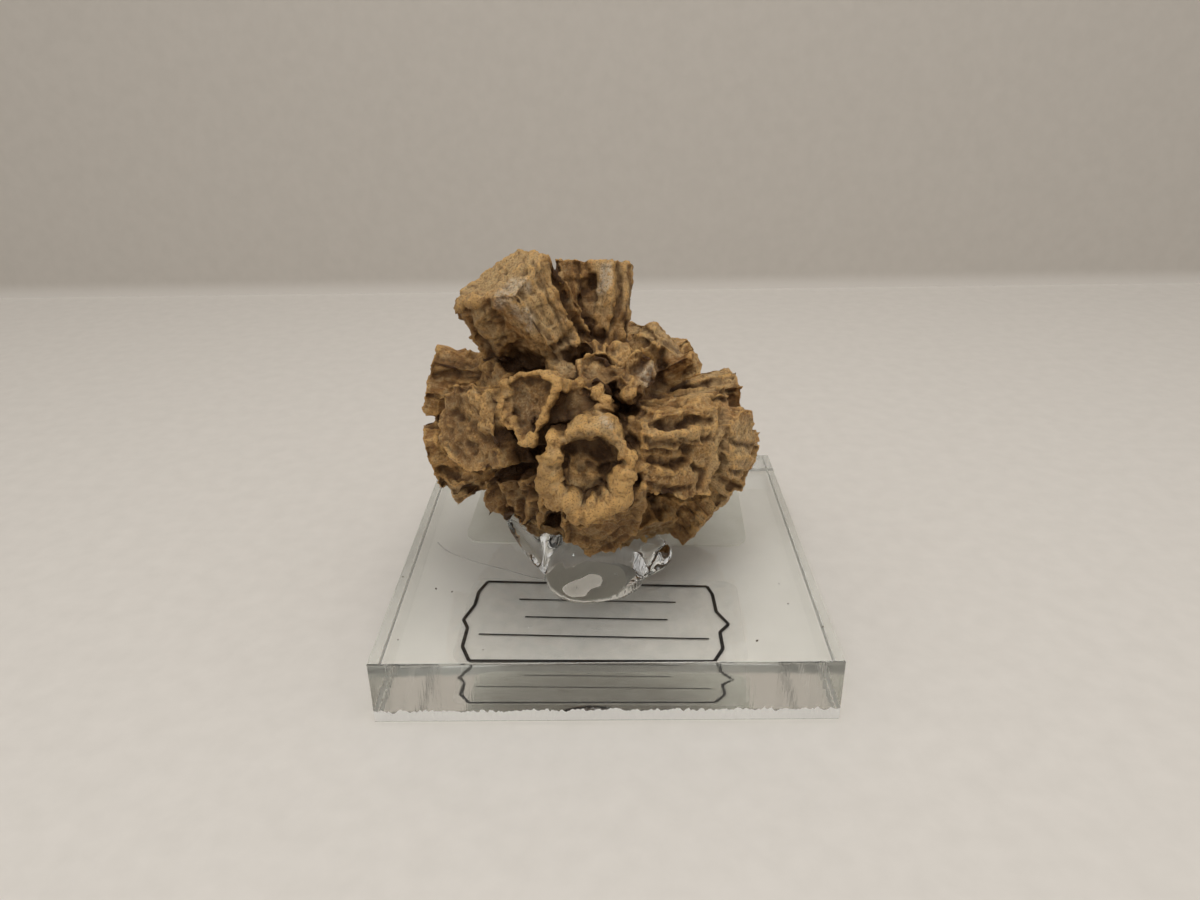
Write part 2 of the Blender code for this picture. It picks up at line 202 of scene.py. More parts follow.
class Skin:
    """A mesh's points in millimetres, with the links between neighbours."""

    def __init__(self, mesh):
        self.mesh = mesh
        count = len(mesh.vertices)
        points = np.empty(count * 3)
        mesh.vertices.foreach_get("co", points)
        self.points = points.reshape(-1, 3) / MM
        links = np.empty(len(mesh.edges) * 2, dtype=np.int32)
        mesh.edges.foreach_get("vertices", links)
        self.one = links[0::2]
        self.other = links[1::2]
        self.degree = np.bincount(self.one, minlength=count) + np.bincount(self.other, minlength=count)

    def store(self):
        self.mesh.vertices.foreach_set("co", (self.points * MM).ravel())
        self.mesh.update()

    def normals(self):
        self.store()
        found = np.empty(len(self.points) * 3)
        self.mesh.vertex_normals.foreach_get("vector", found)
        return found.reshape(-1, 3)

    def blur(self, values, rounds):
        """The values, averaged with their neighbours' so many times."""
        count = len(values)
        columns = values.reshape(count, -1).T.copy()
        for _ in range(rounds):
            for k, column in enumerate(columns):
                total = np.bincount(self.one, column[self.other], count)
                total += np.bincount(self.other, column[self.one], count)
                columns[k] = (column + total) / (1 + self.degree)
        return columns.T.reshape(values.shape)

    def push(self, amount):
        """Moves every point out along its normal."""
        self.points += self.normals() * amount[:, None]

    def relief(self, rounds):
        """How far each point stands proud of the surface around it."""
        normals = self.normals()
        return np.einsum("ij,ij->i", self.points - self.blur(self.points, rounds), normals)

    def tree(self):
        """The surface, for rays to meet."""
        faces = [list(face.vertices) for face in self.mesh.polygons]
        return BVHTree.FromPolygons(self.points.tolist(), faces)

    def seen(self):
        """1 where the camera sees the surface, and 0 where it doesn't."""
        normals = self.normals()
        tree = self.tree()
        to_camera = CAMERA_PLACE - self.points
        to_camera /= np.linalg.norm(to_camera, axis=1)[:, None]
        faces_camera = np.einsum("ij,ij->i", to_camera, normals) > 0.02
        clear = np.zeros(len(self.points))
        starts = self.points + normals * 0.2 + to_camera * 0.2
        for k in np.flatnonzero(faces_camera):
            if tree.ray_cast(Vector(starts[k]), Vector(to_camera[k]))[0] is None:
                clear[k] = 1.0
        return self.blur(clear, 2)

    def hemmed(self, rays, length):
        """The share of the directions out from each point that meet another part of the surface."""
        normals = self.normals()
        tree = self.tree()
        spread = []
        for k in range(rays):
            height = (k + 0.5) / rays
            turn = k * math.pi * (3.0 - math.sqrt(5.0))
            flat = math.sqrt(1.0 - height * height)
            spread.append((flat * math.cos(turn), flat * math.sin(turn), height + 0.15))
        met = np.zeros(len(self.points))
        for k, (point, normal) in enumerate(zip(self.points.tolist(), normals.tolist())):
            up = Vector(normal)
            side = up.orthogonal().normalized()
            turned = Matrix((side, up.cross(side), up)).transposed()
            start = Vector(point) + up * 0.1
            for way in spread:
                if tree.ray_cast(start, turned @ Vector(way), length)[0] is not None:
                    met[k] += 1.0
        return self.blur(met / rays, 2)

    def mark(self, name, values):
        """Keeps values on the mesh for its material to read."""
        attribute = self.mesh.attributes.new(name, "FLOAT", "POINT")
        attribute.data.foreach_set("value", values.astype(np.float32))


def rough_rosette():
    """The crystals' plain form, with its split corners joined again."""
    mesh = bpy.data.meshes.new("rosette_form")
    bm = bmesh.new()
    bm.from_mesh(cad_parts["calcite_cluster"].data)
    bmesh.ops.remove_doubles(bm, verts=bm.verts, dist=0.001 * MM)
    bm.to_mesh(mesh)
    bm.free()
    return mesh


# What the photograph shows on the crystals: kind, half width and depth in millimetres, and PIXEL places
# Ridges, rims and swells stand proud, grooves and pits are sunk, and the other kinds are colour alone: lit
# marks are painted light, shade marks are painted shade, and pale and grey are the stone's own tones
FEATURES = [
    # The tall crystal on the left
    ("ridge", 0.7, 0.35, [(503, 292), (517, 312), (529, 330), (542, 349), (554, 369)]),
    ("ridge", 0.5, 0.15, [(470, 301), (485, 296), (496, 296), (503, 290)]),
    ("groove", 0.35, 0.5, [(470, 305), (480, 330), (497, 359)]),
    ("groove", 0.3, 0.4, [(459, 311), (470, 338), (484, 364)]),
    ("pit", 1.0, 0.4, [(447, 305)]),
    ("swell", 2.6, 1.1, [(470, 322), (478, 336), (490, 350)]),
    ("swell", 2.4, 0.5, [(512, 258), (530, 250)]),
    ("groove", 0.3, 0.35, [(489, 303), (504, 332), (519, 360)]),
    ("groove", 0.25, 0.3, [(533, 262), (552, 305), (572, 350)]),
    ("groove", 0.25, 0.25, [(520, 286), (538, 322), (556, 352)]),
    ("groove", 0.45, 0.7, [(555, 266), (569, 305), (584, 334)]),
    ("ridge", 0.5, 0.3, [(559, 292), (571, 322), (581, 345)]),
    ("pale", 0.9, 0.0, [(500, 300), (507, 292), (514, 285)]),
    ("pale", 0.5, 0.0, [(602, 417), (610, 426)]),
    ("pale", 0.5, 0.0, [(642, 372), (652, 368)]),
    ("pale", 0.6, 0.0, [(523, 283), (528, 290)]),
    ("pale", 0.4, 0.0, [(513, 307), (520, 320)]),
    ("shade", 2.8, 0.0, [(466, 322), (480, 342), (505, 358)]),
    ("lit", 2.6, 0.0, [(525, 285), (545, 325), (560, 352)]),
    ("lit", 2.0, 0.0, [(468, 290), (500, 272), (528, 254)]),
    ("lit", 1.3, 0.0, [(482, 316), (494, 342)]),
    ("pale", 0.6, 0.0, [(526, 312), (531, 326)]),
    # The tall crystal beside it
    ("shade", 0.7, 0.0, [(566, 268), (571, 292), (580, 314)]),
    ("lit", 1.5, 0.0, [(604, 264), (606, 292), (604, 308)]),
    ("lit", 1.1, 0.0, [(622, 272), (627, 305)]),
    ("swell", 1.2, 0.3, [(606, 266), (605, 300)]),
    ("groove", 0.3, 0.5, [(574, 262), (579, 295), (586, 324)]),
    ("ridge", 0.3, 0.25, [(579, 275), (583, 305)]),
    ("pit", 0.45, 1.0, [(595, 277), (594, 284)]),
    ("groove", 0.4, 0.4, [(591, 288), (586, 292)]),
    ("pale", 0.8, 0.0, [(608, 268), (603, 290)]),
    ("groove", 0.3, 0.4, [(620, 262), (621, 287), (619, 312), (606, 337)]),
    ("groove", 0.25, 0.3, [(629, 268), (630, 295), (624, 322)]),
    ("ridge", 1.3, 0.4, [(594, 312), (597, 326)]),
    ("groove", 0.3, 0.5, [(603, 330), (600, 348)]),
    ("groove", 0.3, 0.5, [(590, 330), (592, 348)]),
    # The crystal on the right of them
    ("ridge", 0.5, 0.5, [(614, 347), (626, 334), (644, 337), (661, 349)]),
    ("shade", 0.9, 0.0, [(646, 346), (657, 356), (655, 368)]),
    ("groove", 0.3, 0.3, [(640, 327), (664, 342), (680, 352)]),
    ("groove", 0.4, 0.5, [(664, 349), (659, 378)]),
    ("lit", 1.6, 0.0, [(640, 330), (668, 345)]),
    # The small crystals in the middle
    ("rim", 0.55, 0.35, [(574, 357), (590, 355), (604, 354), (619, 366)]),
    ("shade", 0.9, 0.0, [(584, 374), (604, 376), (621, 374)]),
    ("rim", 0.55, 0.3, [(619, 354), (641, 347), (655, 364), (656, 377)]),
    ("pit", 0.5, 0.6, [(634, 371), (644, 362)]),
    ("pale", 0.9, 0.0, [(646, 377), (652, 370)]),
    ("swell", 1.2, 0.9, [(632, 386), (628, 396)]),
    ("swell", 1.0, 0.8, [(598, 392), (612, 397)]),
    ("pit", 0.4, 0.6, [(617, 406), (629, 402)]),
    ("grey", 1.6, 0.0, [(562, 352), (566, 372)]),
    # The collared crystal and its neighbour
    ("rim", 0.75, 0.5, [(496, 402), (500, 386), (517, 374), (539, 373), (558, 381), (556, 390), (548, 404),
                       (542, 419), (533, 430), (531, 443), (519, 444), (513, 434), (502, 424), (498, 413),
                       (496, 402)]),
    ("grey", 1.8, 0.0, [(519, 392), (520, 408)]),
    ("swell", 2.2, 0.5, [(522, 392), (520, 410)]),
    ("shade", 1.2, 0.0, [(524, 398), (523, 418)]),
    ("rim", 0.65, 0.4, [(562, 388), (574, 379), (588, 386), (609, 396), (609, 405), (598, 414)]),
    ("shade", 1.0, 0.0, [(575, 400), (590, 405)]),
    ("swell", 1.8, 0.4, [(574, 400), (588, 404)]),
    # The front crystal
    ("rim", 1.1, 0.7, [(552, 436), (566, 428), (583, 423), (596, 417), (609, 413), (618, 425), (627, 438),
                        (634, 452), (629, 468), (623, 483), (622, 498)]),
    ("rim", 1.0, 0.6, [(622, 498), (606, 505), (591, 511), (577, 517), (572, 506), (557, 504), (545, 488),
                       (542, 464), (548, 446), (552, 436)]),
    ("shade", 1.3, 0.0, [(572, 448), (590, 443), (606, 450)]),
    ("pit", 0.8, 0.25, [(577, 446), (602, 449)]),
    ("swell", 1.7, 0.4, [(566, 462), (584, 468)]),
    ("lit", 1.5, 0.0, [(550, 470), (562, 486), (582, 494), (604, 486)]),
    ("swell", 3.0, 1.1, [(560, 482), (580, 493), (606, 489)]),
    ("swell", 1.2, 0.5, [(592, 426), (608, 432)]),
    ("lit", 1.6, 0.0, [(575, 432), (600, 424), (618, 440)]),
    ("groove", 0.35, 0.5, [(588, 462), (598, 467), (608, 464)]),
    ("groove", 0.3, 0.4, [(584, 479), (596, 482), (606, 477)]),
    ("pit", 0.4, 0.4, [(598, 495), (602, 499)]),
    ("pit", 0.4, 0.4, [(564, 473), (568, 477)]),
    # The crystal below it
    ("groove", 0.35, 0.7, [(560, 505), (560, 545)]),
    ("groove", 0.4, 0.5, [(566, 512), (572, 530), (570, 552)]),
    ("swell", 1.2, 0.4, [(588, 528), (606, 524), (618, 512)]),
    ("groove", 0.3, 0.35, [(575, 549), (600, 553), (626, 536)]),
    ("groove", 0.25, 0.3, [(582, 541), (606, 543), (632, 522)]),
    ("ridge", 0.5, 0.4, [(566, 520), (580, 524), (604, 512), (628, 500), (645, 486)]),
    ("shade", 2.4, 0.0, [(572, 540), (600, 545), (628, 530)]),
    # The crystal on the left
    ("ridge", 0.4, 0.4, [(450, 386), (463, 383), (476, 384), (488, 386)]),
    ("pit", 0.5, 0.5, [(462, 390), (466, 387)]),
    ("pit", 0.5, 0.5, [(479, 389), (483, 386)]),
    ("ridge", 0.8, 0.5, [(478, 400), (486, 414), (480, 432)]),
    ("groove", 0.5, 0.6, [(470, 424), (482, 436), (494, 446)]),
    ("groove", 0.6, 0.9, [(499, 388), (494, 404), (497, 424), (502, 446)]),
    ("shade", 1.5, 0.0, [(452, 402), (455, 436), (468, 452)]),
    ("pit", 0.6, 0.5, [(456, 412), (462, 418)]),
    ("pit", 0.5, 0.5, [(468, 444), (474, 450)]),
    ("swell", 1.2, 0.4, [(446, 424), (452, 440)]),
    ("rim", 0.4, 0.3, [(442, 392), (437, 417), (437, 441), (449, 456), (468, 472), (484, 474)]),
    # The stepped crystal on the right
    ("groove", 0.4, 0.6, [(652, 424), (668, 427), (690, 421), (712, 420)]),
    ("ridge", 1.1, 0.3, [(648, 432), (668, 436), (690, 429), (711, 428)]),
    ("groove", 0.4, 0.6, [(646, 440), (658, 446), (676, 445)]),
    ("groove", 0.35, 0.5, [(680, 438), (694, 444), (709, 438)]),
    ("ridge", 1.0, 0.3, [(650, 452), (668, 455), (684, 452)]),
    ("groove", 0.3, 0.3, [(690, 447), (687, 456)]),
    ("groove", 0.5, 0.7, [(650, 461), (668, 466), (684, 461)]),
    ("ridge", 1.0, 0.3, [(692, 452), (708, 450)]),
    ("swell", 1.6, 0.5, [(662, 476), (682, 478)]),
    ("groove", 0.35, 0.5, [(692, 466), (702, 472), (700, 486)]),
    ("groove", 0.4, 0.5, [(650, 484), (668, 490), (690, 487)]),
    ("ridge", 0.8, 0.4, [(656, 496), (680, 502), (706, 496)]),
    ("pit", 0.5, 0.6, [(680, 444), (686, 449)]),
    ("pit", 0.5, 0.6, [(664, 464), (672, 467)]),
    ("shade", 0.8, 0.0, [(664, 446), (690, 448)]),
    ("shade", 0.7, 0.0, [(652, 462), (680, 464)]),
    ("lit", 1.4, 0.0, [(722, 425), (720, 465), (716, 505)]),
    ("lit", 1.2, 0.0, [(655, 430), (700, 432)]),
    # The crystals beyond it
    ("groove", 0.3, 0.6, [(716, 392), (734, 391)]),
    ("groove", 0.3, 0.6, [(714, 398), (734, 399)]),
    ("groove", 0.25, 0.3, [(668, 392), (700, 384), (732, 376)]),
    ("lit", 1.6, 0.0, [(690, 385), (726, 376)]),
    ("groove", 0.35, 0.5, [(732, 443), (756, 446)]),
    ("groove", 0.35, 0.5, [(730, 471), (756, 474)]),
    ("groove", 0.35, 0.5, [(730, 486), (754, 488)]),
    ("ridge", 0.6, 0.4, [(736, 457), (757, 459)]),
    ("lit", 2.2, 0.0, [(742, 436), (750, 465), (748, 488)]),
    ("groove", 0.4, 0.6, [(736, 496), (716, 520), (696, 540)]),
    ("ridge", 0.4, 0.4, [(738, 503), (718, 525), (700, 540), (683, 555)]),
    ("shade", 2.6, 0.0, [(650, 515), (666, 535), (684, 540)]),
    # The stepped crystals low on the left
    ("groove", 0.45, 0.9, [(492, 484), (500, 500), (504, 516)]),
    ("groove", 0.45, 0.9, [(512, 484), (520, 500), (521, 518)]),
    ("groove", 0.45, 0.9, [(530, 494), (535, 508), (533, 522)]),
    ("groove", 0.4, 0.6, [(486, 496), (512, 494), (534, 500)]),
    ("pit", 0.7, 0.8, [(527, 489), (531, 494)]),
    ("pit", 0.7, 0.8, [(509, 512), (512, 520)]),
    ("ridge", 0.4, 0.4, [(500, 484), (508, 500), (512, 512)]),
    ("ridge", 0.4, 0.4, [(540, 498), (536, 518), (524, 524)]),
    ("shade", 2.8, 0.0, [(548, 520), (540, 536), (515, 520), (496, 504)]),
    ("shade", 2.0, 0.0, [(540, 500), (515, 492), (492, 486)]),
    # The crystals at the left edge
    ("groove", 0.3, 0.5, [(434, 377), (452, 376), (476, 372)]),
    ("groove", 0.3, 0.4, [(429, 397), (441, 396)]),
    ("groove", 0.35, 0.7, [(421, 424), (437, 425)]),
    ("shade", 1.6, 0.0, [(438, 372), (460, 368), (480, 378)]),
    ("groove", 0.4, 0.6, [(438, 470), (462, 478), (500, 470)]),
    ("groove", 0.35, 0.6, [(432, 478), (452, 490), (478, 492)]),
    ("groove", 0.25, 0.4, [(446, 499), (462, 501), (478, 497)]),
    ("shade", 1.8, 0.0, [(500, 456), (520, 462), (536, 470)]),
    ("lit", 1.0, 0.0, [(436, 488), (456, 494), (476, 488)]),
]
PUSH = {"ridge": 1.0, "rim": 1.0, "swell": 1.0, "groove": -1.0, "pit": -1.0}
# The colour masks the kinds make: dark carries painted shade in grooves, pits and shade marks, and lit
# carries painted light
TINTS = {
    "gold": {"rim": 1.0, "ridge": 0.45},
    "dark": {"groove": 0.9, "pit": 1.0, "shade": 0.55},
    "pale": {"pale": 1.0},
    "grey": {"grey": 1.0},
    "lit": {"lit": 1.0},
}

SHARP_KINDS = ("ridge", "rim", "groove")
FLAT_SHARE = 0.4
STRAY_PIXELS = 2.2
DEEPEST = 1.4
PROUDEST = 1.1


def feature_shares(skin):
    """How strongly each feature shows at each point, with natural strays and breaks along it."""
    spots, away = to_pixels(skin.points)
    stray = np.stack([grain(skin.points, 1.7, 21, 2), grain(skin.points, 1.7, 22, 2)], 1)
    seen = skin.seen()
    broken = 1.0 + 0.45 * grain(skin.points, 1.1, 23, 2)
    shares = []
    for kind, width, depth, line in FEATURES:
        distance = line_distance(spots + stray * STRAY_PIXELS, line) * away / FOCAL_PIXELS
        inner = 0.0 if kind in SHARP_KINDS else FLAT_SHARE
        reach = width * 1.25 * np.clip(broken, 0.5, 1.5)
        shares.append((1.0 - smooth_step(inner * reach, reach, distance)) * seen)
    return shares


def carve_features(skin):
    """Pushes the features in and out."""
    normals = skin.blur(skin.normals(), 3)
    shift = np.zeros(len(skin.points))
    for (kind, width, depth, line), share in zip(FEATURES, feature_shares(skin)):
        shift += PUSH.get(kind, 0.0) * depth * share
    skin.points += normals * np.clip(shift, -DEEPEST, PROUDEST)[:, None]


def outward(skin):
    """Each point's direction out from the heart, its distance, and how squarely the surface faces out."""
    outwards = skin.points - HEART
    reach = np.linalg.norm(outwards, axis=1)
    outwards /= reach[:, None]
    return outwards, reach, np.einsum("ij,ij->i", skin.normals(), outwards)


# Fibres: width, how fast they vary along their length, step between ends, groove depth, seed
FIBRES = [(1.7, 0.05, 0.12, 0.13, 1), (0.7, 0.12, 0.035, 0.05, 2)]
FIBRE_REACH = 18.0
LUMP_SIZE = 3.0
LUMP_HEIGHT = 0.14
RING_STEP = 0.09
GRAIN_SIZE = 0.6
GRAIN_HEIGHT = 0.07
GRAIN_GROOVE = 0.06


def carve_rosette(skin):
    """Gives the plain form its rounded ends, features, fibres, lumps and grains."""
    outwards, reach, facing = outward(skin)
    cap = smooth_step(0.5, 0.85, skin.blur(facing, 4))
    side = 1.0 - cap
    skin.points += (skin.blur(skin.points, 8) - skin.points) * cap[:, None] * 0.6
    skin.points = skin.blur(skin.points, 1)
    carve_features(skin)
    relief = np.zeros(len(skin.points))
    # Fibres run outwards from the heart, and end at different heights
    for width, along, step, groove, seed in FIBRES:
        turned = outwards * (FIBRE_REACH / width) + np.outer(reach, [along, -along, along])
        heights, borders = cells(turned + 0.3 * wander(skin.points, 2.0, seed), seed)
        crack = 1.0 - smooth_step(0.0, 0.2, borders)
        crack *= smooth_step(-0.35, 0.35, grain(skin.points, 5.0, seed + 50, 1))
        relief += (side + 0.3 * cap) * (step * heights - groove * crack)
    # Broad lumps, and steps where growth stopped for a while
    relief += LUMP_HEIGHT * grain(skin.points, LUMP_SIZE, 3, 3)
    rings = cells(outwards * 5.0 + np.outer(reach, [0.5, 0.35, 0.4]), 4)[0]
    relief += side * RING_STEP * rings
    # Grains
    heights, borders = cells(skin.points / GRAIN_SIZE, 5)
    cracked = 1.0 - smooth_step(0.0, 0.3, borders)
    relief += (0.2 + 0.8 * cap) * (GRAIN_HEIGHT * heights - GRAIN_GROOVE * cracked)
    relief += 0.05 * grain(skin.points, 0.5, 6, 2)
    skin.points += skin.blur(skin.normals(), 2) * relief[:, None]


CREVICE_RAYS = 12
CREVICE_REACH = 5.0


def mark_rosette(skin):
    """Keeps, for the material, what kind of surface each point is."""
    outwards, reach, facing = outward(skin)
    skin.mark("cap", smooth_step(0.5, 0.9, skin.blur(facing, 6)))
    fine = skin.relief(3)
    broad = skin.relief(18)
    # Masks for painted light: crest marks raised edges for a painted highlight, and hollow, sunk and crevice
    # mark recesses for painted shade
    skin.mark("crest", smooth_step(0.04, 0.16, fine) * smooth_step(0.0, 0.3, broad))
    skin.mark("hollow", smooth_step(0.05, 0.16, -fine))
    skin.mark("sunk", skin.blur(smooth_step(0.15, 0.6, -broad), 1))
    skin.mark("crevice", smooth_step(0.3, 0.72, skin.hemmed(CREVICE_RAYS, CREVICE_REACH)))
    shares = feature_shares(skin)
    for tint, kinds in TINTS.items():
        total = np.zeros(len(skin.points))
        for (kind, width, depth, line), share in zip(FEATURES, shares):
            total = np.maximum(total, kinds.get(kind, 0.0) * share)
        skin.mark(tint, total)


def make_rosette():
    skin = Skin(remeshed("rosette_form", rough_rosette(), VOXEL))
    carve_rosette(skin)
    skin.store()
    done = Skin(thinned("rosette_skin", skin.mesh, MOST_TRIANGLES))
    mark_rosette(done)
    done.mesh.shade_smooth()
    item = new_object("rosette", done.mesh)
    item.data.materials.clear()
    item.data.materials.append(calcite_material())
    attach(item, "root")
    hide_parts("calcite_cluster")


# Materials

class Nodes:
    """A material's nodes, added and joined in one line each."""

    def __init__(self, name):
        self.material = bpy.data.materials.new(name)
        self.material.use_nodes = True
        self.tree = self.material.node_tree
        self.shader = self.tree.nodes["Principled BSDF"]
        self.output = self.tree.nodes["Material Output"]
        self.place = self.tree.nodes.new("ShaderNodeTexCoord").outputs["Object"]

    def add(self, kind, **values):
        node = self.tree.nodes.new(kind)
        for key, value in values.items():
            setattr(node, key, value)
        return node

    def join(self, source, target):
        self.tree.links.new(source, target)

    def fill(self, socket, value):
        if isinstance(value, bpy.types.NodeSocket):
            self.join(value, socket)
        else:
            socket.default_value = value

    def attribute(self, name):
        return self.add("ShaderNodeAttribute", attribute_name=name).outputs["Fac"]

    def noise(self, size, detail=2.0, roughness=0.5, stretch=(1.0, 1.0, 1.0)):
        """Noise with lumps of the given size in millimetres."""
        mapping = self.add("ShaderNodeMapping")
        mapping.inputs["Scale"].default_value = stretch
        self.join(self.place, mapping.inputs["Vector"])
        texture = self.add("ShaderNodeTexNoise")
        self.join(mapping.outputs["Vector"], texture.inputs["Vector"])
        texture.inputs["Scale"].default_value = 1.0 / (size * MM)
        texture.inputs["Detail"].default_value = detail
        texture.inputs["Roughness"].default_value = roughness
        return texture.outputs["Fac"]

    def fibres(self, size, detail):
        """Noise drawn out along lines from the rosette's heart, in threads of a size in millimetres."""
        outwards = self.add("ShaderNodeVectorMath", operation="SUBTRACT")
        self.join(self.place, outwards.inputs[0])
        outwards.inputs[1].default_value = HEART * MM
        turned = self.add("ShaderNodeVectorMath", operation="NORMALIZE")
        self.join(outwards.outputs["Vector"], turned.inputs[0])
        long = self.add("ShaderNodeVectorMath", operation="MULTIPLY_ADD")
        self.join(outwards.outputs["Vector"], long.inputs[0])
        long.inputs[1].default_value = (2.2, 2.2, 2.2)
        self.join(turned.outputs["Vector"], long.inputs[2])
        texture = self.add("ShaderNodeTexNoise")
        self.join(long.outputs["Vector"], texture.inputs["Vector"])
        texture.inputs["Scale"].default_value = FIBRE_REACH / size
        texture.inputs["Detail"].default_value = detail
        return texture.outputs["Fac"]

    def ramp(self, value, low, high, start=0.0, end=1.0):
        node = self.add("ShaderNodeMapRange")
        node.inputs["From Min"].default_value = low
        node.inputs["From Max"].default_value = high
        node.inputs["To Min"].default_value = start
        node.inputs["To Max"].default_value = end
        self.join(value, node.inputs["Value"])
        return node.outputs["Result"]

    def times(self, one, other):
        node = self.add("ShaderNodeMath", operation="MULTIPLY")
        self.fill(node.inputs[0], one)
        self.fill(node.inputs[1], other)
        return node.outputs["Value"]

    def mix(self, share, one, other):
        node = self.add("ShaderNodeMix", data_type="RGBA")
        self.fill(node.inputs["Factor"], share)
        self.fill(node.inputs[6], one)
        self.fill(node.inputs[7], other)
        return node.outputs[2]

    def bump(self, height, depth, strength=1.0, below=None):
        node = self.add("ShaderNodeBump")
        node.inputs["Distance"].default_value = depth * MM
        node.inputs["Strength"].default_value = strength
        self.join(height, node.inputs["Height"])
        if below is not None:
            self.join(below, node.inputs["Normal"])
        return node.outputs["Normal"]


TAN = (0.57, 0.325, 0.112, 1.0)
DEEP_TAN = (0.36, 0.18, 0.056, 1.0)
GOLD = (0.75, 0.445, 0.155, 1.0)
GREY_BROWN = (0.36, 0.24, 0.11, 1.0)
GREY_FLOOR = (0.48, 0.37, 0.22, 1.0)
PALE_GREY = (0.72, 0.51, 0.255, 1.0)
# Painted shade: the darkest brown, put in grooves, pits, shade marks, hollows and crevices
SHADE_BROWN = (0.055, 0.023, 0.007, 1.0)
BROWN = (0.19, 0.088, 0.027, 1.0)
WHITISH = (0.80, 0.71, 0.56, 1.0)


def calcite_material():
    n = Nodes("calcite")
    broad = n.noise(4.5, 3.0)
    middle = n.noise(1.3, 4.0, 0.6)
    fine = n.noise(0.32, 4.0, 0.7)
    fibre = n.fibres(0.3, 3.0)
    side = n.ramp(n.attribute("cap"), 0.0, 1.0, 1.0, 0.0)
    # Patches, with threads along the sides and a greyer floor on the ends
    colour = n.mix(n.ramp(broad, 0.35, 0.65), DEEP_TAN, TAN)
    colour = n.mix(n.ramp(middle, 0.5, 0.66, 0.0, 0.75), colour, PALE_GREY)
    colour = n.mix(n.ramp(middle, 0.48, 0.34, 0.0, 0.7), colour, BROWN)
    # Painted light: the lit marks are paler
    colour = n.mix(n.times(n.attribute("lit"), 0.55), colour, PALE_GREY)
    colour = n.mix(n.times(side, n.ramp(fibre, 0.5, 0.68, 0.0, 0.4)), colour, BROWN)
    colour = n.mix(n.times(side, n.ramp(fibre, 0.48, 0.3, 0.0, 0.35)), colour, PALE_GREY)
    floor = n.times(n.attribute("cap"), n.ramp(fine, 0.42, 0.6))
    colour = n.mix(n.times(floor, 0.5), colour, GREY_BROWN)
    colour = n.mix(n.times(n.attribute("grey"), n.ramp(fine, 0.4, 0.6, 0.0, 0.45)), colour, GREY_FLOOR)
    # Golden rims and ridges, a painted highlight of gold on raised crests, and pale places
    crest = n.times(n.attribute("crest"), n.ramp(middle, 0.25, 0.6, 0.4, 0.9))
    colour = n.mix(crest, colour, GOLD)
    colour = n.mix(n.times(n.attribute("gold"), n.ramp(fine, 0.3, 0.6, 0.75, 0.35)), colour, GOLD)
    pale = n.times(n.attribute("pale"), n.ramp(fine, 0.35, 0.55))
    colour = n.mix(n.times(pale, 0.6), colour, WHITISH)
    # Specks, and painted shade: grooves, pits, shade marks, sunken places, hollows and enclosed crevices are
    # darkened
    specks = n.noise(0.22, 2.0, 0.6)
    colour = n.mix(n.times(n.attribute("cap"), n.ramp(specks, 0.44, 0.34, 0.0, 0.5)), colour, PALE_GREY)
    colour = n.mix(n.times(n.attribute("dark"), n.ramp(fine, 0.2, 0.65, 0.95, 0.5)), colour, SHADE_BROWN)
    colour = n.mix(n.times(n.attribute("sunk"), n.ramp(fine, 0.3, 0.6, 0.7, 0.25)), colour, BROWN)
    colour = n.mix(n.times(n.attribute("hollow"), n.ramp(fine, 0.2, 0.6, 0.9, 0.45)), colour, SHADE_BROWN)
    colour = n.mix(n.times(n.attribute("crevice"), 0.93), colour, SHADE_BROWN)
    colour = n.mix(n.ramp(specks, 0.54, 0.64, 0.0, 0.6), colour, BROWN)
    n.join(colour, n.shader.inputs["Base Color"])
    n.join(n.ramp(fine, 0.3, 0.7, 0.28, 0.55), n.shader.inputs["Roughness"])
    n.shader.inputs["Specular IOR Level"].default_value = 0.35
    n.shader.inputs["Subsurface Weight"].default_value = 0.15
    n.shader.inputs["Subsurface Radius"].default_value = (1.0, 0.6, 0.3)
    n.shader.inputs["Subsurface Scale"].default_value = 0.6 * MM
    bumps = n.bump(n.times(side, fibre), 0.13)
    bumps = n.bump(fine, 0.3, below=bumps)
    n.join(n.bump(n.noise(0.15, 3.0, 0.6), 0.1, below=bumps), n.shader.inputs["Normal"])
    return n.material


def clear_material(name, colour, roughness, ior, absorbed, density, clear=1.0, streaks=0.0):
    """Clear stuff that bends light, with upright saw streaks. Lamps' light goes straight on through it."""
    n = Nodes(name)
    n.shader.inputs["Base Color"].default_value = colour
    n.shader.inputs["Roughness"].default_value = roughness
    n.shader.inputs["IOR"].default_value = ior
    n.shader.inputs["Transmission Weight"].default_value = clear
    if streaks:
        n.join(n.bump(n.noise(0.35, 3.0, 0.6, (1.0, 1.0, 0.03)), streaks), n.shader.inputs["Normal"])
    lamp = n.add("ShaderNodeLightPath").outputs["Is Shadow Ray"]
    straight = n.add("ShaderNodeBsdfTransparent")
    straight.inputs["Color"].default_value = colour
    either = n.add("ShaderNodeMixShader")
    n.join(lamp, either.inputs[0])
    n.join(n.shader.outputs["BSDF"], either.inputs[1])
    n.join(straight.outputs["BSDF"], either.inputs[2])
    n.join(either.outputs["Shader"], n.output.inputs["Surface"])
    absorption = n.add("ShaderNodeVolumeAbsorption")
    absorption.inputs["Color"].default_value = absorbed
    absorption.inputs["Density"].default_value = density
    n.join(absorption.outputs["Volume"], n.output.inputs["Volume"])
    return n.material


def contact_material():
    """Where two clear pieces touch, light goes straight from one into the other."""
    material = bpy.data.materials.new("clear_contact")
    material.use_nodes = True
    nodes = material.node_tree.nodes
    nodes.remove(nodes["Principled BSDF"])
    straight = nodes.new("ShaderNodeBsdfTransparent")
    material.node_tree.links.new(straight.outputs["BSDF"], nodes["Material Output"].inputs["Surface"])
    return material


